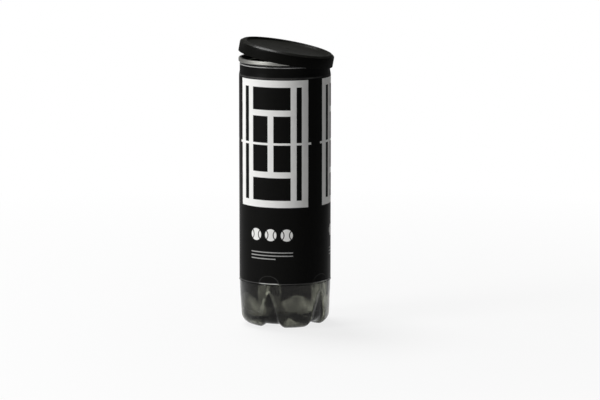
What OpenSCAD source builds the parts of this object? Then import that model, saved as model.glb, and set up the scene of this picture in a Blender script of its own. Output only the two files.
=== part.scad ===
// Tennis ball can: a clear blown can with a five-footed base, a printed sleeve shrunk round it,
// the seamed metal ring that stays when the panel has been torn out, and a press-on lid set askew.
// Origin: on the can's axis, at the level of the feet. +Z is up, and +X is the lid's low side.

/* [Can] */
// Diameter of the straight barrel, over the printed sleeve
barrel_d = 73; // [60:0.5:90]
// Height from the feet to the top of the metal rim
can_h = 214; // [120:1:300]
// Thickness of the clear plastic wall
wall = 0.42; // [0.3:0.02:0.6]
// How far the neck is drawn in from the barrel, on the radius
neck_step = 0.6; // [0.4:0.05:2]
// Height of the straight neck below the metal rim
neck_h = 7.2; // [3:0.2:14]
// Height of the slope from the neck out to the barrel
shoulder_h = 3.4; // [2:0.2:10]
// Radius of the raised bead that stops the sleeve's lower edge
bead_r = 0.35; // [0.2:0.05:0.5]

/* [Base] */
// Number of feet round the base
foot_count = 5; // [4:1:6]
// Turn of the first foot from the lid's low side
foot_turn = 6; // [0:1:72]
// Height of the tapered heel, from the feet to the straight barrel
heel_h = 34; // [26:0.5:42]
// Inward taper of the heel, on the radius, between the barrel and the round of the feet
heel_taper = 1; // [0.6:0.1:4]
// Radius of the round that runs from the heel under to the feet
heel_round = 8.7; // [6:0.1:11]
// Width of the flat pad on each foot, along the radius
pad_w = 4.4; // [2:0.1:6]
// Height of the pushed-up dome in the middle of the base
dome_h = 7; // [5:0.1:9]
// Height of the valleys between the feet
valley_h = 2.6; // [2:0.1:4]
// How far the valleys lie in from the feet, on the radius
valley_in = 1.7; // [0.4:0.1:2.4]
// Height of the arched tops of the valleys
valley_top = 31; // [22:0.5:34]
// Width of the valleys at the floor, as a share of the space from foot to foot
valley_width = 0.65; // [0.4:0.05:0.7]
// Width of the sloped sides of the valleys
valley_side = 5; // [3:0.2:6]

/* [Sleeve] */
// Thickness of the printed film
film_t = 0.1; // [0.05:0.01:0.2]
// Gap between the bead below the sleeve and the film's lower edge
film_bead_gap = 0.65; // [0.2:0.05:60]
// Gap between the film's upper edge and the metal rim
film_rim_gap = 1.6; // [0.5:0.1:3]

/* [Rim] */
// Thickness of the rim's sheet metal
metal_t = 0.22; // [0.15:0.01:0.3]
// Height of the double seam
seam_h = 3.4; // [3:0.1:4.5]
// Thickness of the sealing compound under the top of the seam
lining_t = 0.08; // [0.05:0.01:0.2]
// Depth of the gutter inside the rim, below its top
gutter_depth = 4.4; // [3.6:0.1:6]
// Inner radius of the gutter's round bottom
gutter_round = 0.3; // [0.2:0.05:0.6]
// Height of the gutter's inner wall above its round bottom
gutter_lip_h = 0.9; // [0.5:0.1:1.6]
// Width of the torn ledge that the panel left behind
torn_ledge = 0.4; // [0.2:0.05:0.8]

/* [Lid] */
// Overall height of the lid
lid_h = 9.6; // [7:0.1:12]
// Thickness of the lid's skirt
lid_skirt_t = 0.6; // [0.5:0.05:1.2]
// Thickness of the lid's top
lid_top_t = 1; // [0.7:0.05:1.6]
// Depth of the dished panel in the lid's top
dish_depth = 1.5; // [0.8:0.1:2]
// Width of the flat land between the lid's edge and the dish
land_w = 4.6; // [4.4:0.1:8]
// Slope of the dish's side, on the radius
dish_slope = 1.2; // [0.6:0.1:2]
// Radius of the lid's rounded top edge
lid_edge_round = 1.5; // [0.4:0.1:1.6]
// Height of the thickened lip round the skirt's mouth
lid_lip_h = 1.2; // [0.6:0.1:2]
// How far that lip stands in from the skirt
lid_lip_t = 0.15; // [0.05:0.05:0.2]
// Angle at which the lid rests askew
lid_tilt = 10.3; // [0:0.1:14]

/* [Clearances] */
// Gap between the film and the wall that it is shrunk on
film_gap = 0.02; // [0.01:0.01:0.05]
// Play between the folded layers of the seam
seam_play = 0.025; // [0.01:0.005:0.04]
// Gap between the metal rim and the lid's lip
lid_fit = 0.4; // [0.35:0.05:0.8]
// Gap between the top of the rim and the underside of the closed lid
lid_seat = 0.3; // [0.1:0.05:0.5]
// How far outside the lid's edge the tipping axis lies
axis_out = 0.3; // [0:0.1:1]
// Height of the tipping axis above the closed lid's lower edge
axis_up = 1.05; // [0.8:0.05:2]

/* [Hidden] */
$fn = 128;

// Reach of cutting solids past what they cut
over = 5;

// Radii of the can's wall
barrel_r = barrel_d / 2;
body_r = barrel_r - film_t - film_gap;
neck_r = body_r - neck_step;

// Layers of the double seam, from the neck outwards
cover_hook_r = neck_r + seam_play;
body_hook_r = cover_hook_r + metal_t + seam_play;
body_hook_out_r = body_hook_r + wall;
lining_gap = lining_t + 2 * seam_play;
seam_wall_r = body_hook_out_r + lining_gap;
seam_r = seam_wall_r + metal_t;

// The fold over the top of the seam, round one centre for all its layers
fold_r = (neck_r - wall + body_hook_out_r) / 2;
fold_in = (body_hook_r - neck_r) / 2;
fold_out = fold_in + wall;
arch_in = fold_out + lining_gap;
arch_out = arch_in + metal_t;
fold_z = can_h - arch_out;

// The curl under the seam, and its drop below the fold's centre
seam_low_z = can_h - seam_h;
curl_out = (seam_r - cover_hook_r) / 2;
curl_in = curl_out - metal_t;
curl_drop = seam_h - arch_out - curl_out;

// The gutter at the foot of the rim's inner wall, and its drop below the fold's centre
gutter_out = gutter_round + metal_t;
gutter_drop = gutter_depth - arch_out - gutter_out;

// Heights of the neck and the shoulder
neck_low_z = seam_low_z - neck_h;
shoulder_low_z = neck_low_z - shoulder_h;

// The base: the round of the feet, the dome's sphere and the valleys
foot_r = body_r - heel_taper - heel_round;
pad_in_r = foot_r - pad_w;
dome_r = (pad_in_r * pad_in_r + dome_h * dome_h) / (2 * dome_h);
foot_at = [foot_r, heel_round];
valley_at = [foot_r - valley_in, heel_round + valley_h];
foot_step = 360 / foot_count;
valley_half = valley_width * PI * foot_r / foot_count;

// The base is a mesh of rings; its uppermost reaches up inside the thickness of the wall
petal_steps = 24;
petal_n = foot_count * petal_steps;
heel_rows = 7;
round_rows = 7;
dome_rows = 4;
lap_h = 1.5;
lap_in = 0.05;

// Heights of the bead over the heel, and of the film's lower edge
bead_z = heel_h + lap_h;
film_low_z = bead_z + bead_r + film_bead_gap;

// The lid, closed
lid_in_r = seam_r + lid_fit + lid_lip_t;
lid_r = lid_in_r + lid_skirt_t;
lid_top_z = can_h + lid_seat + lid_top_t;
lid_low_z = lid_top_z - lid_h;
dish_r = lid_r - land_w;
dish_low_r = dish_r - dish_slope;

// The line about which the lid tips, along Y
axis_x = lid_r + axis_out;
axis_z = lid_low_z + axis_up;

// Angle, seen from a round's centre, of the point where a line from outside touches the round
function touch_angle(from, centre, radius) =
    let (run = from - centre)
    atan2(run.y, run.x) - acos(radius / norm(run));

// Half of a flat ring, the upper half or the lower
module half_ring(inner, outer, upper = true) {
    intersection() {
        difference() {
            circle(outer);
            circle(inner);
        }
        translate([-outer - over, upper ? 0 : -outer - over])
            square([2 * (outer + over), outer + over]);
    }
}

// Height of the dome's sphere at a radius, drawn in by inset
function dome_z(r, inset) = dome_h - dome_r + sqrt(pow(dome_r + inset, 2) - r * r);

// Rows of points down the heel and round to the floor, from the lap at the top radius
function heel_points(top_r, centre, radius) =
    let (from = [top_r, heel_h])
    let (angle = touch_angle(from, centre, radius))
    let (touch = centre + radius * [cos(angle), sin(angle)])
    concat(
        [[top_r, heel_h + lap_h]],
        [for (i = [0 : heel_rows - 1]) from + (touch - from) * i / heel_rows],
        [for (i = [0 : round_rows])
            let (a = angle + (-90 - angle) * i / round_rows)
            centre + radius * [cos(a), sin(a)]]
    );

// Half section through the middle of a foot, as rows of points from the lap in to the dome
function foot_rows(inset, top_r) = concat(
    heel_points(top_r, foot_at, heel_round - inset),
    [[pad_in_r, inset]],
    [for (i = [1 : dome_rows])
        let (r = pad_in_r * (1 - i / (dome_rows + 1)))
        [r, dome_z(r, inset)]]
);

// The same rows through the middle of a valley
function valley_rows(inset, top_r) = concat(
    heel_points(top_r, valley_at, heel_round - inset),
    [[pad_in_r, valley_h + inset]],
    [for (i = [1 : dome_rows])
        let (r = pad_in_r * (1 - i / (dome_rows + 1)))
        [r, max(dome_z(r, inset), valley_h + inset)]]
);

// A soft step: 0 below zero, 1 above one
function soft_step(t) = t < 0 ? 0 : t > 1 ? 1 : t * t * (3 - 2 * t);

// How far a row has moved from the foot to the valley, 0 to 1, at an angle from mid-valley;
// a valley is an arch, widest at the floor
function valley_share(foot, angle) =
    let (half_w = valley_half * sqrt(max(0, 1 - foot.y / valley_top)))
    let (from_middle = foot.x * abs(angle) * PI / 180)
    soft_step((half_w - from_middle) / valley_side);

// Rings of points round the base, one for each row
function petal_rings(inset, top_r) =
    let (feet = foot_rows(inset, top_r))
    let (valleys = valley_rows(inset, top_r))
    [for (i = [0 : len(feet) - 1])
        let (run = valleys[i] - feet[i])
        for (j = [0 : petal_n - 1])
            let (from_valley = foot_step * (j % petal_steps) / petal_steps - foot_step / 2)
            let (p = feet[i] + run * valley_share(feet[i], from_valley))
            let (a = foot_turn + foot_step * j / petal_steps)
            [p.x * cos(a), p.x * sin(a), p.y]];

// Triangles over rings of points that run down and in to a middle point, seen from outside
function ring_faces(first, rows, middle) = concat(
    [for (i = [0 : rows - 2]) for (j = [0 : petal_n - 1]) for (half = [0, 1])
        let (a = first + i * petal_n + j)
        let (b = first + i * petal_n + (j + 1) % petal_n)
        half == 0 ? [a, b, b + petal_n] : [a, b + petal_n, a + petal_n]],
    [for (j = [0 : petal_n - 1])
        let (last = first + (rows - 1) * petal_n)
        [last + j, last + (j + 1) % petal_n, middle]]
);

// The same triangles seen from the other side
function turned_over(faces) = [for (f = faces) [f[2], f[1], f[0]]];

// Five-footed base: a thin shell between an outer and an inner set of rings
module petal_base() {
    outer = petal_rings(0, body_r - lap_in);
    inner = petal_rings(wall, body_r - wall + lap_in);
    count = len(outer);
    rows = count / petal_n;
    polyhedron(
        points = concat(outer, inner, [[0, 0, dome_h], [0, 0, dome_h + wall]]),
        faces = concat(
            ring_faces(0, rows, 2 * count),
            turned_over(ring_faces(count, rows, 2 * count + 1)),
            [for (j = [0 : petal_n - 1]) for (half = [0, 1])
                let (k = (j + 1) % petal_n)
                half == 0 ? [count + j, count + k, k] : [count + j, k, j]]
        )
    );
}

// Blown can: one clear wall from the feet to the flange that is folded into the seam
module can_body() {
    color([0.62, 0.63, 0.62, 0.45]) {
        petal_base();
        rotate_extrude() {
            polygon([
                [body_r - wall, heel_h], [body_r, heel_h], [body_r, shoulder_low_z],
                [neck_r, neck_low_z], [neck_r, fold_z], [neck_r - wall, fold_z],
                [neck_r - wall, neck_low_z], [body_r - wall, shoulder_low_z]
            ]);
            translate([fold_r, fold_z]) {
                half_ring(fold_in, fold_out);
                translate([fold_in, -curl_drop]) square([wall, curl_drop]);
            }
            translate([body_r, bead_z]) bead_section();
        }
    }
}

// Half-round bead, rooted in the thickness of the wall
module bead_section() {
    intersection() {
        circle(bead_r);
        translate([-wall / 2, -bead_r]) square([wall, 2 * bead_r]);
    }
}

// Film shrunk on the barrel, over the shoulder and up the neck
module printed_sleeve() {
    in_r = body_r + film_gap;
    neck_in_r = neck_r + film_gap;
    film_top_z = seam_low_z - film_rim_gap;
    color([0.05, 0.05, 0.05])
        rotate_extrude()
            polygon([
                [in_r, film_low_z], [in_r + film_t, film_low_z],
                [in_r + film_t, shoulder_low_z], [neck_in_r + film_t, neck_low_z],
                [neck_in_r + film_t, film_top_z], [neck_in_r, film_top_z],
                [neck_in_r, neck_low_z], [in_r, shoulder_low_z]
            ]);
}

// Sheet metal ring: torn ledge, gutter, inner wall, arch over the top, seam wall, curl and hook
module rim_ring() {
    color([0.72, 0.71, 0.68])
        rotate_extrude()
            translate([fold_r, fold_z]) {
                half_ring(arch_in, arch_out);
                translate([-arch_out, -gutter_drop]) square([metal_t, gutter_drop]);
                translate([-arch_out - gutter_round, -gutter_drop]) gutter_section();
                translate([arch_in, -curl_drop]) square([metal_t, curl_drop]);
                translate([arch_out - curl_out, -curl_drop]) curl_section();
            }
}

// Round bottom of the gutter, with its inner wall and the ledge that was torn
module gutter_section() {
    half_ring(gutter_round, gutter_out, upper = false);
    translate([-gutter_out, 0]) square([metal_t, gutter_lip_h]);
    translate([-gutter_out - torn_ledge, gutter_lip_h - metal_t])
        square([torn_ledge + metal_t, metal_t]);
}

// Curl under the seam, with the hook that runs up inside the folded flange
module curl_section() {
    half_ring(curl_in, curl_out, upper = false);
    translate([-curl_out, 0]) square([metal_t, curl_drop - fold_in]);
}

// Rubbery compound squeezed between the flange and the arch of the ring
module seam_lining() {
    color([0.45, 0.44, 0.4])
        rotate_extrude()
            translate([fold_r, fold_z])
                half_ring(fold_out + seam_play, fold_out + seam_play + lining_t);
}

// Half section of the lid, drawn down from its top
module lid_section() {
    lip_r = lid_in_r - lid_lip_t;
    lip_top = lid_lip_h - lid_h;
    dish_under = -dish_depth - lid_top_t;
    difference() {
        polygon([
            [0, -dish_depth], [dish_low_r, -dish_depth], [dish_r, 0], [lid_r, 0],
            [lid_r, -lid_h], [lip_r, -lid_h], [lip_r, lip_top],
            [lid_in_r, lip_top + lid_lip_t], [lid_in_r, -lid_top_t], [dish_r, -lid_top_t],
            [dish_low_r, dish_under], [0, dish_under]
        ]);
        translate([lid_r - lid_edge_round, -lid_edge_round])
            difference() {
                square(2 * lid_edge_round);
                circle(lid_edge_round);
            }
    }
}

// Press-on lid, tipped about its low side to where it rests askew on the rim
module press_on_lid() {
    color([0.09, 0.09, 0.085])
        translate([axis_x, 0, axis_z])
            rotate([0, lid_tilt, 0])
                translate([-axis_x, 0, lid_top_z - axis_z])
                    rotate_extrude() lid_section();
}

can_body();
printed_sleeve();
rim_ring();
seam_lining();
press_on_lid();
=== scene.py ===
import math

import bpy
from mathutils import Matrix, Vector


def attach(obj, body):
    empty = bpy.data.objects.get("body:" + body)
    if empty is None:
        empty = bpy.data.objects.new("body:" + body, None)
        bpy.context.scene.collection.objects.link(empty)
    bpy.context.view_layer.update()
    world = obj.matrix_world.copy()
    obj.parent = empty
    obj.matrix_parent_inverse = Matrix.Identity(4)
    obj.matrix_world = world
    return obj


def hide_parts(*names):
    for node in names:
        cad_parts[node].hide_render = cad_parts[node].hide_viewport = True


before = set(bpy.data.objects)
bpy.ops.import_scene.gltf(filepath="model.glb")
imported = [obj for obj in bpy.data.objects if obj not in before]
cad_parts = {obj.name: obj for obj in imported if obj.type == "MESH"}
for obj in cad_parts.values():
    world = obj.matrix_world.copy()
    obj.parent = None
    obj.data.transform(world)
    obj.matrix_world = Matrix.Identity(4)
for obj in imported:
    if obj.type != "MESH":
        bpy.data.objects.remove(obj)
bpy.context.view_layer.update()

bpy.ops.object.select_all(action="DESELECT")

# Clear can.
# One wall of clear PET, stretch-blown in a mould: a straight barrel, a drawn-in neck whose flange
# is folded into the metal seam, and a base pushed up between five feet so that it stands steady.
# Its dark smoky tint is painted shade of a dark surround seen through the wall.

MM = 0.001
BARREL_R = 36.38
NECK_R = 35.78
WALL = 0.42
HEEL_H = 34.0
HEEL_ROUND = 8.7
FOOT_R = BARREL_R - 1.0 - HEEL_ROUND
PAD_IN_R = FOOT_R - 4.4
DOME_H = 7.0
DOME_R = (PAD_IN_R ** 2 + DOME_H ** 2) / (2 * DOME_H)
VALLEY_H = 2.6
VALLEY_IN = 1.7
VALLEY_TOP = 31.0
VALLEY_HALF = 0.65 * math.pi * FOOT_R / 5
VALLEY_SIDE = 5.0
FOOT_TURN = math.radians(6)
FOOT_STEP = math.radians(72)
NECK_LOW_Z = 203.4
SHOULDER_LOW_Z = 200.0
FOLD_R = 35.915
FOLD_Z = 213.095
FOLD_IN = 0.135
HOOK_END_Z = 211.1
BEAD_R = 0.35
BEAD_Z = 35.5
SLOPE_STEPS = 16
HEEL_STEPS = 18
PAD_STEPS = 4
DOME_STEPS = 15


def arc(middle, radius, first, last, steps):
    """Points along an arc from one angle to another, in degrees."""
    turns = [math.radians(first + (last - first) * i / steps) for i in range(steps + 1)]
    return [(middle[0] + radius * math.cos(a), middle[1] + radius * math.sin(a)) for a in turns]


def heel_line(middle):
    """The heel from its tangent on the barrel's end down and round to the floor."""
    run = Vector((BARREL_R - middle[0], HEEL_H - middle[1]))
    angle = math.degrees(math.atan2(run.y, run.x) - math.acos(HEEL_ROUND / run.length))
    round_part = arc(middle, HEEL_ROUND, angle, -90, HEEL_STEPS)
    touch_r, touch_z = round_part[0]
    shares = [i / SLOPE_STEPS for i in range(SLOPE_STEPS)]
    slope = [(BARREL_R + (touch_r - BARREL_R) * t, HEEL_H + (touch_z - HEEL_H) * t) for t in shares]
    return slope + round_part


def dome_z(r):
    """The height of the pushed-up dome at a distance from the axis."""
    return DOME_H - DOME_R + math.sqrt(DOME_R ** 2 - r * r)


def turned(name, line, steps=256):
    """A section line in millimetres, extruded point by point and spun round the axis."""
    bpy.ops.mesh.primitive_plane_add(size=0.01, location=(0, 0, 0))
    piece = bpy.context.object
    piece.name = name
    bpy.ops.object.mode_set(mode="EDIT")
    bpy.ops.mesh.select_mode(type="VERT")
    bpy.ops.mesh.select_all(action="SELECT")
    start = Vector((line[0][0] * MM, 0, line[0][1] * MM))
    bpy.ops.mesh.merge(type="CENTER")
    bpy.ops.transform.translate(value=start)
    for (r0, z0), (r1, z1) in zip(line, line[1:]):
        step = ((r1 - r0) * MM, 0, (z1 - z0) * MM)
        bpy.ops.mesh.extrude_vertices_move(TRANSFORM_OT_translate={"value": step})
    bpy.ops.mesh.select_all(action="SELECT")
    bpy.ops.mesh.spin(steps=steps, angle=2 * math.pi, center=(0, 0, 0), axis=(0, 0, 1))
    bpy.ops.mesh.select_all(action="SELECT")
    bpy.ops.mesh.remove_doubles(threshold=2e-6)
    bpy.ops.mesh.normals_make_consistent(inside=False)
    bpy.ops.object.mode_set(mode="OBJECT")
    return piece


def thicken(piece, thickness, offset):
    """Gives a spun skin its wall, on its inner side (offset -1) or on both sides (0)."""
    wall = piece.modifiers.new("wall", "SOLIDIFY")
    wall.thickness = thickness * MM
    wall.offset = offset
    bpy.ops.object.modifier_apply(modifier="wall")


foot_line = heel_line((FOOT_R, HEEL_ROUND))
valley_line = heel_line((FOOT_R - VALLEY_IN, HEEL_ROUND + VALLEY_H))
for i in range(1, PAD_STEPS + 1):
    r = FOOT_R + (PAD_IN_R - FOOT_R) * i / PAD_STEPS
    foot_line.append((r, 0.0))
    valley_line.append((r, VALLEY_H))
for i in range(1, DOME_STEPS):
    r = PAD_IN_R * (1 - i / DOME_STEPS)
    foot_line.append((r, dome_z(r)))
    valley_line.append((r, max(dome_z(r), VALLEY_H)))
foot_line.append((0.0, DOME_H))
valley_line.append((0.0, DOME_H))

upper_line = [(BARREL_R, HEEL_H + 0.5)] + arc((BARREL_R, BEAD_Z), BEAD_R, -90, 90, 8)
upper_line += [(BARREL_R, SHOULDER_LOW_Z), (NECK_R, NECK_LOW_Z)]
upper_line += arc((FOLD_R, FOLD_Z), FOLD_IN, 180, 0, 6)
upper_line += [(FOLD_R + FOLD_IN, HOOK_END_Z)]
can = turned("clear_can", upper_line[::-1] + foot_line, steps=320)

for vertex in can.data.vertices:
    r = math.hypot(vertex.co.x, vertex.co.y) / MM
    z = vertex.co.z / MM
    if z > HEEL_H - 0.01 or r < 0.01:
        continue
    row = min(
        range(len(foot_line)),
        key=lambda i: (foot_line[i][0] - r) ** 2 + (foot_line[i][1] - z) ** 2,
    )
    run = Vector(valley_line[row]) - Vector(foot_line[row])
    around = math.atan2(vertex.co.y, vertex.co.x)
    from_valley = r * abs((around - FOOT_TURN) % FOOT_STEP - FOOT_STEP / 2)
    half_width = VALLEY_HALF * math.sqrt(max(0, 1 - z / VALLEY_TOP))
    t = min(1, max(0, (half_width - from_valley) / VALLEY_SIDE))
    place = Vector(foot_line[row]) + run * t * t * (3 - 2 * t)
    vertex.co = (
        place.x * math.cos(around) * MM,
        place.x * math.sin(around) * MM,
        place.y * MM,
    )

bpy.context.view_layer.objects.active = can
bpy.ops.object.mode_set(mode="EDIT")
bpy.ops.mesh.select_all(action="SELECT")
bpy.ops.mesh.flip_normals()
bpy.ops.object.mode_set(mode="OBJECT")
thicken(can, WALL, offset=-1)
bpy.ops.object.shade_smooth_by_angle(angle=math.radians(50))


class Shade:
    """A socket in a material's tree; arithmetic on it adds Math nodes."""

    def __init__(self, tree, socket=None):
        self.tree = tree
        self.socket = socket

    def node(self, kind, settings=None, sockets=None, out=0):
        """Adds a node with its settings, then its socket values or links; gives one output."""
        made = self.tree.nodes.new(kind)
        for key, value in (settings or {}).items():
            setattr(made, key, value)
        for key, value in (sockets or {}).items():
            if isinstance(value, Shade):
                self.tree.links.new(value.socket, made.inputs[key])
            else:
                made.inputs[key].default_value = value
        return Shade(self.tree, made.outputs[out])

    def math(self, operation, *values):
        return self.node(
            "ShaderNodeMath", {"operation": operation}, dict(enumerate(values))
        )

    def __add__(self, other):
        return self.math("ADD", self, other)

    def __radd__(self, other):
        return self.math("ADD", other, self)

    def __sub__(self, other):
        return self.math("SUBTRACT", self, other)

    def __rsub__(self, other):
        return self.math("SUBTRACT", other, self)

    def __mul__(self, other):
        return self.math("MULTIPLY", self, other)

    def __rmul__(self, other):
        return self.math("MULTIPLY", other, self)

    def __truediv__(self, other):
        return self.math("DIVIDE", self, other)

    def __rtruediv__(self, other):
        return self.math("DIVIDE", other, self)

    def __abs__(self):
        return self.math("ABSOLUTE", self)

    def low(self, other):
        return self.math("MINIMUM", self, other)

    def high(self, other):
        return self.math("MAXIMUM", self, other)

    def band(self, first, last):
        """0 below first, 1 above last, an even slope between."""
        return self.node(
            "ShaderNodeMapRange",
            {"clamp": True},
            {"Value": self, "From Min": first, "From Max": last},
        )

    def colours(self, dark, light):
        """A colour between two, by this value."""
        return self.node(
            "ShaderNodeMix",
            {"data_type": "RGBA"},
            {"Factor": self, 6: (*dark, 1), 7: (*light, 1)},
            2,
        )


def finish_for(name):
    """A new material with its tree, and the shader that its looks feed."""
    made = bpy.data.materials.new(name)
    made.use_nodes = True
    tree = made.node_tree
    shader = tree.nodes["Principled BSDF"]
    return made, Shade(tree), shader


def feed(shade, shader, socket):
    """Links a value or colour to one socket of a shader."""
    shade.tree.links.new(shade.socket, shader.inputs[socket])


def emboss(height, shader, strength, distance):
    """Lets a height, at a distance in millimetres, bend the shader's normals."""
    sockets = {"Height": height, "Strength": strength, "Distance": distance * MM}
    feed(height.node("ShaderNodeBump", None, sockets), shader, "Normal")


def three_parts(vector):
    """The x, y and z of a vector."""
    split = vector.node("ShaderNodeSeparateXYZ", None, {"Vector": vector}).socket.node
    return [Shade(vector.tree, part) for part in split.outputs]


def coordinates(start):
    """The place on the piece, in metres, and its three parts."""
    place = start.node("ShaderNodeTexCoord", out=3)
    return place, *three_parts(place)


def moved(place, operation, vector):
    """The place with a vector added to it, or stretched by it."""
    return place.node("ShaderNodeVectorMath", {"operation": operation}, {0: place, 1: vector})


def noise(place, scale, detail):
    """Cloudy values about a half, scale of them to a metre."""
    sockets = {"Vector": place, "Scale": scale, "Detail": detail}
    return place.node("ShaderNodeTexNoise", None, sockets)


CLOUD_AT = (0.3, 0.11, 0.07)
CREASE_HALF = 1.5
PARTING_Z = 13.5
PARTING_HALF = 0.4
WORN_H = 12.0
UPPER_SHADE_FROM = 10.0
UPPER_SHADE_LOW_Z = 22.0
UPPER_SHADE_RISE = 0.47
# The tint's two ends: a dark smoky tint that is painted shade of a dark surround seen through the
# clear wall.
SHADE_TINT_DARK = (0.03, 0.03, 0.026)
SHADE_TINT_LIGHT = (0.46, 0.465, 0.415)
plastic, start, shader = finish_for("clear PET with painted shade tint")
place, x, y, z = coordinates(start)
shifted = moved(place, "ADD", CLOUD_AT)
cloud = noise(shifted, scale=62, detail=1).band(0.4, 0.62)
streak = noise(shifted, scale=170, detail=1).band(0.42, 0.58)
ripple = noise(place, scale=110, detail=0.5)
scuff = noise(place, scale=900, detail=4).band(0.56, 0.74)
worn = scuff * (1 - z.band(0, WORN_H * MM))
around = start.math("ARCTAN2", y, x)
turn = start.math("WRAP", around - FOOT_TURN, FOOT_STEP, 0.0) - FOOT_STEP / 2
beside = abs(turn) * start.math("SQRT", x * x + y * y) * 1000
arch_half = VALLEY_HALF * start.math("SQRT", (1 - z * (1000 / VALLEY_TOP)).high(0.0))
inside = (arch_half - beside) / VALLEY_SIDE
# Painted shade: darker inside each valley of the base.
painted_valley_shade = inside.band(0.2, 0.9)
from_crease = (inside - 0.25) * (VALLEY_SIDE / CREASE_HALF)
crease = (1 - from_crease * from_crease).high(0.0)
from_parting = (z * 1000 - PARTING_Z) / PARTING_HALF
parting = (1 - from_parting * from_parting).high(0.0)
# Painted shade: a darker band high on the heel above each foot, just under the sleeve.
upper_shade_low = UPPER_SHADE_LOW_Z + UPPER_SHADE_RISE * (beside - UPPER_SHADE_FROM)
painted_upper_shade = beside.band(UPPER_SHADE_FROM - 1, UPPER_SHADE_FROM + 1) * (z * 1000 - upper_shade_low).band(0.0, 1.5)
glint = 1.15 * crease * streak + 0.7 * parting * streak
# The tint: random clouds and worn feet are the plastic's own; the glints along the creases and
# parting line are painted highlights; the valleys and the band under the sleeve get painted shade.
tint_with_painted_light = 0.25 + 0.5 * cloud - 0.5 * painted_valley_shade + glint - 0.2 * worn - 0.8 * painted_upper_shade
feed(tint_with_painted_light.colours(SHADE_TINT_DARK, SHADE_TINT_LIGHT), shader, "Base Color")
feed(0.02 + 0.02 * cloud + 0.3 * worn, shader, "Roughness")
emboss(0.5 * ripple + 0.15 * parting + 0.2 * crease, shader, strength=1.0, distance=1.0)
shader.inputs["Transmission Weight"].default_value = 1.0
shader.inputs["IOR"].default_value = 1.28
can.data.materials.append(plastic)
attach(can, "can")
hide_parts("can_body")

# Printed sleeve.
# A thin shrink film, printed in black with white lines and shrunk by heat on the barrel, shoulder
# and neck. Its two edges are lapped and welded in one upright seam at the back.

FILM_GAP = 0.02
FILM_T = 0.1
FILM_LOW_Z = 36.5
FILM_TOP_Z = 209.0
BEND = 0.8
PRINT_EDGE = 0.12
SEAM_HALF = 0.4
film_line = [
    (BARREL_R + FILM_GAP, FILM_LOW_Z),
    (BARREL_R + FILM_GAP + FILM_T, FILM_LOW_Z),
    (BARREL_R + FILM_GAP + FILM_T, SHOULDER_LOW_Z - BEND),
    (BARREL_R + FILM_GAP + FILM_T, SHOULDER_LOW_Z),
    (NECK_R + FILM_GAP + FILM_T, NECK_LOW_Z),
    (NECK_R + FILM_GAP + FILM_T, NECK_LOW_Z + BEND),
    (NECK_R + FILM_GAP + FILM_T, FILM_TOP_Z),
    (NECK_R + FILM_GAP, FILM_TOP_Z),
    (NECK_R + FILM_GAP, NECK_LOW_Z),
    (BARREL_R + FILM_GAP, SHOULDER_LOW_Z),
    (BARREL_R + FILM_GAP, FILM_LOW_Z),
]
sleeve = turned("printed_film", film_line)
bpy.ops.object.shade_smooth_by_angle(angle=math.radians(40))

film, start, shader = finish_for("printed black film")
place, x, y, z = coordinates(start)
around = start.math("ARCTAN2", y, x)
height = z * 1000


def court_line(across, height, u, v, half_u, half_v):
    """A straight printed bar, centred on (u, v), in millimetres on the flattened film."""
    side = half_u - abs(across - u)
    end = half_v - abs(height - v)
    return side.low(end).band(-PRINT_EDGE, PRINT_EDGE)


def ball_mark(across, height, u, v, radius):
    """A round printed dot with two curved seam lines left open in it."""
    run_u = abs(across - u)
    run_v = height - v
    reach = across.math("SQRT", run_u * run_u + run_v * run_v)
    past = run_u - 1.45 * radius
    seam = abs(across.math("SQRT", past * past + run_v * run_v) - radius)
    return (radius - reach).low(seam - SEAM_HALF).band(-PRINT_EDGE, PRINT_EDGE)


PRINT_TURN = math.radians(-99)
signed = start.math("WRAP", around - PRINT_TURN, math.pi / 3, -math.pi / 3)
across = signed * (BARREL_R + FILM_GAP + FILM_T)
COURT_Z = 148.5
COURT_HALF = 50.5
OUTER_U = 28.0
INNER_U = 18.5
SERVICE = 24.5
NET_HALF = 33.5
NET_LINE = 0.9
WIDE = 2.8
LINE = 2.4
white = None
for u, v, half_u, half_v in (
    (-OUTER_U, COURT_Z, WIDE, COURT_HALF),
    (OUTER_U, COURT_Z, WIDE, COURT_HALF),
    (0.0, COURT_Z - COURT_HALF + WIDE, OUTER_U + WIDE, WIDE),
    (0.0, COURT_Z + COURT_HALF - WIDE, OUTER_U + WIDE, WIDE),
    (-INNER_U, COURT_Z, LINE, COURT_HALF),
    (INNER_U, COURT_Z, LINE, COURT_HALF),
    (0.0, COURT_Z - SERVICE, INNER_U, LINE),
    (0.0, COURT_Z + SERVICE, INNER_U, LINE),
    (0.0, COURT_Z, LINE, SERVICE),
    (0.0, COURT_Z, NET_HALF, NET_LINE),
):
    bar = court_line(across, height, u, v, half_u, half_v)
    white = bar if white is None else white.high(bar)
MARK_R = 4.8
MARK_Z = 76.0
MARK_STEP = 13.0
for u in (-MARK_STEP, 0.0, MARK_STEP):
    white = white.high(ball_mark(across, height, u, MARK_Z, MARK_R))
RULE_HALF = 18.0
LAST_RULE_HALF = 11.0
RULE_LINE = 0.4
fine = None
for v, half_u in ((62.0, RULE_HALF), (59.4, RULE_HALF), (56.8, LAST_RULE_HALF)):
    rule = court_line(across, height, half_u - RULE_HALF, v, half_u, RULE_LINE)
    fine = rule if fine is None else fine.high(rule)

SHOULDER_SHEEN_Z = 200.3
LAP_TURN = math.radians(81)
LAP_HALF = 2.4
DENT_W = 9.0
DENT_H = 7.0
GATHER_Z = (196.0, 204.0)
INK_BLACK = (0.006, 0.006, 0.0057)
INK_WHITE = (0.86, 0.86, 0.84)
grain = noise(place, scale=2600, detail=2)
haze = noise(place, scale=45, detail=3)
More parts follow.
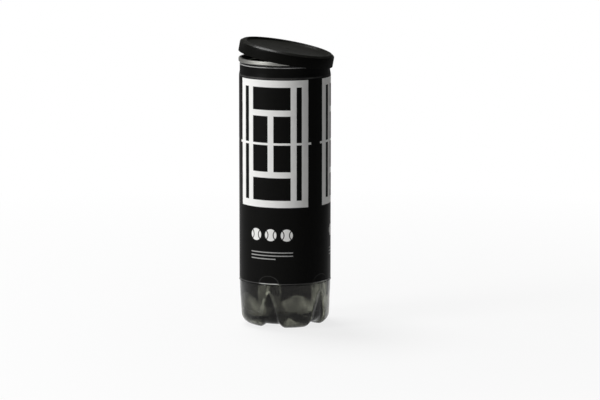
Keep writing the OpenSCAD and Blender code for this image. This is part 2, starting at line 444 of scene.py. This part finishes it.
# Painted highlight: a lighter line along the shoulder's lower edge.
painted_edge_sheen = (0.9 - abs(height - SHOULDER_SHEEN_Z)).band(0.0, 0.8) * haze.band(0.25, 0.6)
top_margin = height.band(FILM_TOP_Z - 0.7, FILM_TOP_Z - 0.6)
low_margin = 1 - height.band(FILM_LOW_Z + 0.5, FILM_LOW_Z + 0.6)
ink = (0.92 * white).high(0.4 * fine) * (0.95 + 0.1 * grain)
feed(0.28 + 0.1 * haze + 0.06 * grain, shader, "Roughness")
lap = abs(start.math("WRAP", around - LAP_TURN, math.pi, -math.pi)) * BARREL_R
valley = start.math("WRAP", around - FOOT_TURN - FOOT_STEP / 2, FOOT_STEP / 2, -FOOT_STEP / 2)
valley_u = valley * (BARREL_R / DENT_W)
valley_v = (height - FILM_LOW_Z) / DENT_H
dent_edge = start.math("SQRT", valley_u * valley_u + valley_v * valley_v)
dent = dent_edge.band(0.8, 1.0)
# Painted highlight: a faint lighter arc along the edge of each dent over a valley.
painted_dent_highlight = (0.06 - abs(dent_edge - 0.92)).band(0.0, 0.05) * haze.band(0.2, 0.6)
free = 1 - abs(valley_u).band(0.7, 1.0)
# Painted highlight: the film's top and bottom edges lighter, the bottom one most over each valley.
low_edge_highlight = (0.06 + 0.7 * free * haze.band(0.3, 0.6)) * low_margin
painted_edge_highlight = low_edge_highlight.high((0.12 + 0.28 * haze.band(0.4, 0.6)) * top_margin)
tone = ink.high(0.075 * painted_edge_sheen).high(0.035 * painted_dent_highlight).high(painted_edge_highlight)
feed(tone.colours(INK_BLACK, INK_WHITE), shader, "Base Color")
gather = noise(moved(place, "MULTIPLY", (1, 1, 0.12)), scale=380, detail=1)
gathered = gather * (0.02 + 0.05 * height.band(*GATHER_Z))
lapped = 0.06 * lap.band(LAP_HALF, LAP_HALF + 0.3)
relief = gathered + 0.12 * haze + lapped + 0.12 * dent + 0.004 * white
emboss(relief + 0.002 * grain, shader, strength=1.0, distance=1.0)
shader.inputs["Specular IOR Level"].default_value = 0.02
sleeve.data.materials.append(film)
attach(sleeve, "can")
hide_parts("printed_sleeve")

# Rim ring.
# What stays of a rolled sheet-metal end when its panel has been torn out: a double seam folded
# round the can's flange, the wall inside it, a gutter and the thin ledge along the tear.

SHEET = 0.22
half = SHEET / 2
ARCH = 0.685 + half
CURL = 0.2875 + half
GUTTER = 0.3 + half
SEAM_R = 36.82
LIP_RISE = 0.9
LIP_ROUND = 0.1
LEDGE = 0.51
TEAR_FROM = 0.3
TEAR_DROP = 0.02
chuck_r = FOLD_R - ARCH
gutter_r = chuck_r - GUTTER
GUTTER_Z = 210.12
lip_r = gutter_r - GUTTER
lip_z = GUTTER_Z + LIP_RISE - half
curl_r = SEAM_R - half - CURL
CURL_Z = 211.1075
rim_line = [
    (lip_r - LEDGE, lip_z - TEAR_DROP),
    (lip_r - TEAR_FROM, lip_z),
    (lip_r - LIP_ROUND, lip_z),
]
rim_line += arc((lip_r - LIP_ROUND, lip_z - LIP_ROUND), LIP_ROUND, 90, 0, 4)[1:]
rim_line += arc((gutter_r, GUTTER_Z), GUTTER, 180, 360, 12)
rim_line += [(chuck_r, GUTTER_Z + (FOLD_Z - GUTTER_Z) * i / 4) for i in range(1, 4)]
rim_line += arc((FOLD_R, FOLD_Z), ARCH, 180, 0, 20)
rim_line += [(SEAM_R - half, FOLD_Z + (CURL_Z - FOLD_Z) * i / 5) for i in range(1, 5)]
rim_line += arc((curl_r, CURL_Z), CURL, 0, -180, 12)
rim_line += [(curl_r - CURL, FOLD_Z - 0.135)]
rim = turned("rim_ring_metal", rim_line)
thicken(rim, SHEET, offset=0)
bpy.ops.object.shade_smooth_by_angle(angle=math.radians(50))

SEAM_GROOVE_Z = 212.1
SEAM_GROOVE_HALF = 0.3
# The metal's colour is kept darker than bare tinplate: painted shade of a dark surround.
METAL_DARK = (0.17, 0.17, 0.157)
METAL_LIGHT = (0.43, 0.43, 0.402)
metal, start, shader = finish_for("rolled rim metal")
place, _, _, z = coordinates(start)
rolled = noise(moved(place, "MULTIPLY", (0.05, 0.05, 1)), scale=5200, detail=2)
stain = noise(place, scale=140, detail=4)
# A groove round the seam's wall: a dent in the bump, and painted shade darkening its colour.
shaded_groove = (SEAM_GROOVE_HALF - abs(z * 1000 - SEAM_GROOVE_Z)).band(0.0, 0.2)
stain_grain_and_shade = 0.35 * rolled + 0.45 * stain + 0.1 - 0.35 * shaded_groove
feed(stain_grain_and_shade.colours(METAL_DARK, METAL_LIGHT), shader, "Base Color")
feed(0.34 + 0.16 * rolled + 0.14 * stain, shader, "Roughness")
emboss(rolled - 1.5 * shaded_groove, shader, strength=0.3, distance=0.12)
shader.inputs["Metallic"].default_value = 1.0
rim.data.materials.append(metal)
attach(rim, "can")
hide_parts("rim_ring")

# Sealing compound.
# A rubbery lining that was flowed into the end before seaming and is now squeezed between the
# folded flange and the arch of the ring, where nothing shows of it.

RUBBER_DARK = (0.2, 0.195, 0.18)
RUBBER_LIGHT = (0.32, 0.31, 0.29)
rubber, start, shader = finish_for("grey sealing compound")
place = coordinates(start)[0]
crumb = noise(place, scale=1500, detail=3)
feed(crumb.colours(RUBBER_DARK, RUBBER_LIGHT), shader, "Base Color")
feed(0.65 + 0.2 * crumb, shader, "Roughness")
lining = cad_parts["seam_lining"]
lining.data.materials.clear()
lining.data.materials.append(rubber)

# Press-on lid.
# A thin overcap of black polyethylene, injection moulded in one shot from a gate at its middle,
# with a dished top and a soft lip that stretches over the rim. It lies tipped, one side off it.

LID_R = 37.965
LID_IN_R = 37.37
LIP_IN_R = 37.22
LID_TOP_Z = 215.3
LID_LOW_Z = 205.7
TOP_T = 1.0
DISH = 1.5
DISH_R = LID_R - 4.6
DISH_LOW_R = DISH_R - 1.2
GATE_R = 1.3
GATE_H = 0.12
GATE_SLOPE = 0.3
LIP_H = 1.2
LIP_SLOPE = 0.15
BEVEL = (2.38, 1.64)
BEVEL_ROUND = 1.2
INNER_BEVEL = (1.56, 1.07)
INNER_ROUND = 0.8
DISH_ROUND = 0.5
DISH_LOW_ROUND = 0.7
EDGE_ROUND = 0.18
FINE_ROUND = 0.1
LID_BLACK = (0.0025, 0.0025, 0.0022)
LID_DUST_AND_SHEEN = (0.045, 0.0455, 0.038)
LID_MIDDLE_X = 2.1
LID_TILT = math.radians(10.3)
TIP_AXIS = Vector((38.27 * MM, 0, 206.75 * MM))


def rounded(corners, steps=5):
    """A line through corners (r, z, radius), each corner turned into an arc of its radius."""
    points = []
    for i, (r, z, radius) in enumerate(corners):
        here = Vector((r, z))
        if radius == 0:
            points.append((r, z))
            continue
        back = (Vector(corners[i - 1][:2]) - here).normalized()
        on = (Vector(corners[i + 1][:2]) - here).normalized()
        half_angle = back.angle(on) / 2
        cut = radius / math.tan(half_angle)
        middle = here + (back + on).normalized() * radius / math.sin(half_angle)
        first, last = here + back * cut - middle, here + on * cut - middle
        sweep = first.angle(last)
        for k in range(steps + 1):
            t = k / steps
            blend = first * math.sin((1 - t) * sweep) + last * math.sin(t * sweep)
            point = middle + blend / math.sin(sweep)
            points.append((point.x, point.y))
    return points


lid_line = rounded([
    (0.0, LID_TOP_Z - DISH + GATE_H, 0),
    (GATE_R, LID_TOP_Z - DISH + GATE_H, FINE_ROUND),
    (GATE_R + GATE_SLOPE, LID_TOP_Z - DISH, FINE_ROUND),
    (DISH_LOW_R, LID_TOP_Z - DISH, DISH_LOW_ROUND),
    (DISH_R, LID_TOP_Z, DISH_ROUND),
    (LID_R - BEVEL[0], LID_TOP_Z, BEVEL_ROUND),
    (LID_R, LID_TOP_Z - BEVEL[1], BEVEL_ROUND),
    (LID_R, LID_LOW_Z, EDGE_ROUND),
    (LIP_IN_R, LID_LOW_Z, EDGE_ROUND),
    (LIP_IN_R, LID_LOW_Z + LIP_H, FINE_ROUND),
    (LID_IN_R, LID_LOW_Z + LIP_H + LIP_SLOPE, FINE_ROUND),
    (LID_IN_R, LID_TOP_Z - TOP_T - INNER_BEVEL[1], INNER_ROUND),
    (LID_IN_R - INNER_BEVEL[0], LID_TOP_Z - TOP_T, INNER_ROUND),
    (DISH_R, LID_TOP_Z - TOP_T, DISH_ROUND),
    (DISH_LOW_R, LID_TOP_Z - DISH - TOP_T, DISH_LOW_ROUND),
    (0.0, LID_TOP_Z - DISH - TOP_T, 0),
])
lid = turned("press_on_cap", lid_line)
bpy.ops.object.shade_smooth_by_angle(angle=math.radians(50))
tilt = Matrix.Rotation(LID_TILT, 4, "Y")
lid.matrix_world = Matrix.Translation(TIP_AXIS) @ tilt @ Matrix.Translation(-TIP_AXIS)
bpy.ops.object.select_all(action="DESELECT")
lid.select_set(True)
bpy.context.view_layer.objects.active = lid
bpy.ops.object.transform_apply(location=True, rotation=True, scale=True)

cap, start, shader = finish_for("black moulded polyethylene")
place, x, y, _ = coordinates(start)
skin = noise(place, scale=2200, detail=3)
dust = noise(place, scale=170, detail=5)
speck = noise(place, scale=1300, detail=1).band(0.66, 0.8)
right, back, upward = three_parts(start.node("ShaderNodeTexCoord", out=1))
from_middle = x - LID_MIDDLE_X * MM
reach = start.math("SQRT", from_middle * from_middle + y * y).high(MM)
outward = (right * from_middle + back * y) / reach
facing_up = upward.band(0.5, 0.95)
raised = upward.band(0.1, 0.5)
# Dust on the upward faces, which also lightens the top as painted light.
dust_and_top_light = facing_up * (0.35 * dust + 0.25 * speck)
# Painted sheen: lighter patches on the upward-tilted edges and bevel.
painted_edge_sheen = 0.3 * raised * (1 - facing_up) * dust.band(0.5, 0.7)
feed((0.1 * skin + dust_and_top_light + painted_edge_sheen).colours(LID_BLACK, LID_DUST_AND_SHEEN), shader, "Base Color")
feed(0.4 + 0.14 * dust + 0.12 * skin, shader, "Roughness")
emboss(skin, shader, strength=0.3, distance=0.12)
polished = (0.2 * facing_up).high(0.18 * raised * outward.band(0.25, 0.5))
feed(polished * (1 - 0.3 * dust), shader, "Coat Weight")
shader.inputs["Coat Roughness"].default_value = 0.24
shader.inputs["Specular IOR Level"].default_value = 0.02
lid.data.materials.append(cap)
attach(lid, "lid")
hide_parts("press_on_lid")

# Studio.
# A pale floor that runs back to a white surround, a soft lamp from the left, another high up at the
# back on the left, and a long lens slightly above the rim.

VIEW_TURN = math.radians(9)
BACKWARD = (-math.sin(VIEW_TURN), math.cos(VIEW_TURN), 0.0)
SIDEWAYS = (math.cos(VIEW_TURN), math.sin(VIEW_TURN), 0.0)


def seen_parts(start):
    """Whether the camera looks, and whether a mirror or clear piece does."""
    rays = start.node("ShaderNodeLightPath").socket.node.outputs
    mirrored = Shade(start.tree, rays["Is Glossy Ray"]).high(
        Shade(start.tree, rays["Is Transmission Ray"])
    )
    return Shade(start.tree, rays["Is Camera Ray"]), mirrored


def along(vector, direction):
    """How far a vector reaches in a direction."""
    return vector.node(
        "ShaderNodeVectorMath", {"operation": "DOT_PRODUCT"}, {0: vector, 1: direction}, 1
    )


FLOOR_SIZE = 40
FLOOR_Z = -0.0004
bpy.ops.mesh.primitive_plane_add(size=FLOOR_SIZE, location=(0, 0, FLOOR_Z))
floor = bpy.context.object
floor.name = "studio_floor"
paper = bpy.data.materials.new("pale paper floor")
paper.use_nodes = True
start = Shade(paper.node_tree)
direct, mirrored = seen_parts(start)
spot = start.node("ShaderNodeTexCoord", out=3)
behind = along(spot, BACKWARD)
aside = abs(along(spot, SIDEWAYS))
away = start.node("ShaderNodeVectorMath", {"operation": "LENGTH"}, {0: spot}, 1)
backing = behind.band(-0.45, -0.25) * (1 - aside.band(0.12, 0.3))
lit = start.node("ShaderNodeBsdfDiffuse", None, {"Color": (0.7, 0.7, 0.7, 1)})
glow = start.node("ShaderNodeEmission", None, {"Color": (1, 1, 1, 1), "Strength": 1.0})
shown = direct.high(mirrored * backing) * (0.8 + 0.2 * away.band(0.1, 0.7))
mixed = start.node("ShaderNodeMixShader", None, {0: shown, 1: lit, 2: glow})
feed(mixed, paper.node_tree.nodes["Material Output"], "Surface")
floor.data.materials.append(paper)

world = bpy.data.worlds.new("white surround")
bpy.context.scene.world = world
world.use_nodes = True
start = Shade(world.node_tree)
direct, mirrored = seen_parts(start)
towards = start.node("ShaderNodeTexCoord", out=0)
above = three_parts(towards)[2]
backdrop = along(towards, BACKWARD).band(-0.1, 0.5) * (1 - above.band(0.02, 0.14))
surround = world.node_tree.nodes["Background"]
surround.inputs["Color"].default_value = (1, 1, 1, 1)
feed(direct.high(mirrored * (0.06 + 0.94 * backdrop)).high(0.03), surround, "Strength")


def lamp(name, turn, distance, height, size, power):
    """A square soft lamp, turned from the camera's side about the can and aimed at its middle."""
    data = bpy.data.lights.new(name, "AREA")
    data.size = size
    data.energy = power
    made = bpy.data.objects.new(name, data)
    bpy.context.scene.collection.objects.link(made)
    angle = VIEW_TURN + math.radians(turn)
    made.location = (distance * math.sin(angle), -distance * math.cos(angle), height)
    aim = Vector((0, 0, 0.12)) - made.location
    made.rotation_euler = aim.to_track_quat("-Z", "Y").to_euler()


lamp("soft_key", turn=-62, distance=1.3, height=0.5, size=0.5, power=13.5)
lamp("top_soft", turn=-140, distance=0.5, height=1.5, size=0.6, power=22)

CAMERA_D = 2.6
CAMERA_SIDE = 0.01196
CAMERA_H = 0.5146
CAMERA_DOWN = math.radians(9.09)
camera_data = bpy.data.cameras.new("studio_camera")
camera_data.lens = 197.8
camera_data.sensor_width = 36.0
camera = bpy.data.objects.new("studio_camera", camera_data)
bpy.context.scene.collection.objects.link(camera)
camera.location = (
    math.sin(VIEW_TURN) * CAMERA_D + math.cos(VIEW_TURN) * CAMERA_SIDE,
    -math.cos(VIEW_TURN) * CAMERA_D + math.sin(VIEW_TURN) * CAMERA_SIDE,
    CAMERA_H,
)
camera.rotation_euler = (math.pi / 2 - CAMERA_DOWN, 0, VIEW_TURN)
bpy.context.scene.camera = camera
bpy.context.scene.view_settings.view_transform = "Standard"

bpy.context.view_layer.update()
